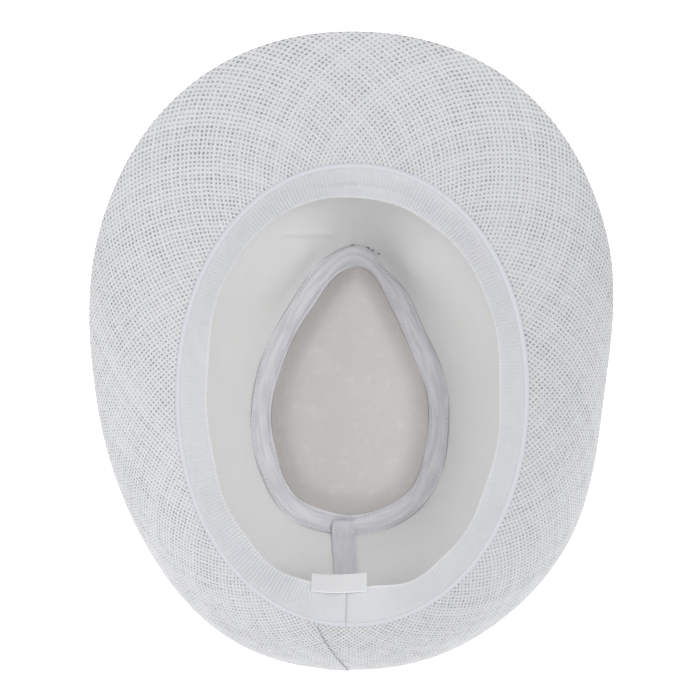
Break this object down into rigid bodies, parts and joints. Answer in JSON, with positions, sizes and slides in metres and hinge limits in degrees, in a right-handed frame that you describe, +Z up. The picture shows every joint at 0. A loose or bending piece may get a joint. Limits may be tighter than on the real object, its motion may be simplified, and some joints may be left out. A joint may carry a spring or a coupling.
{
  "type": "trilby hat",
  "caption": "White woven paper trilby with a pinched teardrop crown, a brim that dips in front and curls up behind, and a lined inside, lying on its crown with the opening up.",
  "frame": {"origin": "middle of the outline, on the surface that the crest of the crown lies on", "axes": "+Z up out of the opening, +Y towards the front of the hat, +X towards the left of the wearer"},
  "size_m": [0.2431, 0.287, 0.1333],
  "materials": {
    "straw": "open plain weave of white paper yarn, laid on the bias, matte",
    "lining": "fine plain-woven cotton, slightly warm white, matte",
    "sweatband": "white ribbed band with fine ribs across its length, soft sheen",
    "tape": "thin cool-white woven tape, matte",
    "label": "smooth white woven satin, bare"
  },
  "bodies": {
    "root": {"brim": "straw", "crown_side": "straw", "crown_tip": "straw", "side_lining": "lining", "tip_lining": "lining", "sweatband": "sweatband", "tip_seam_tape": "tape", "back_seam_tape": "tape", "label": "label"}
  },
  "joints": []
}
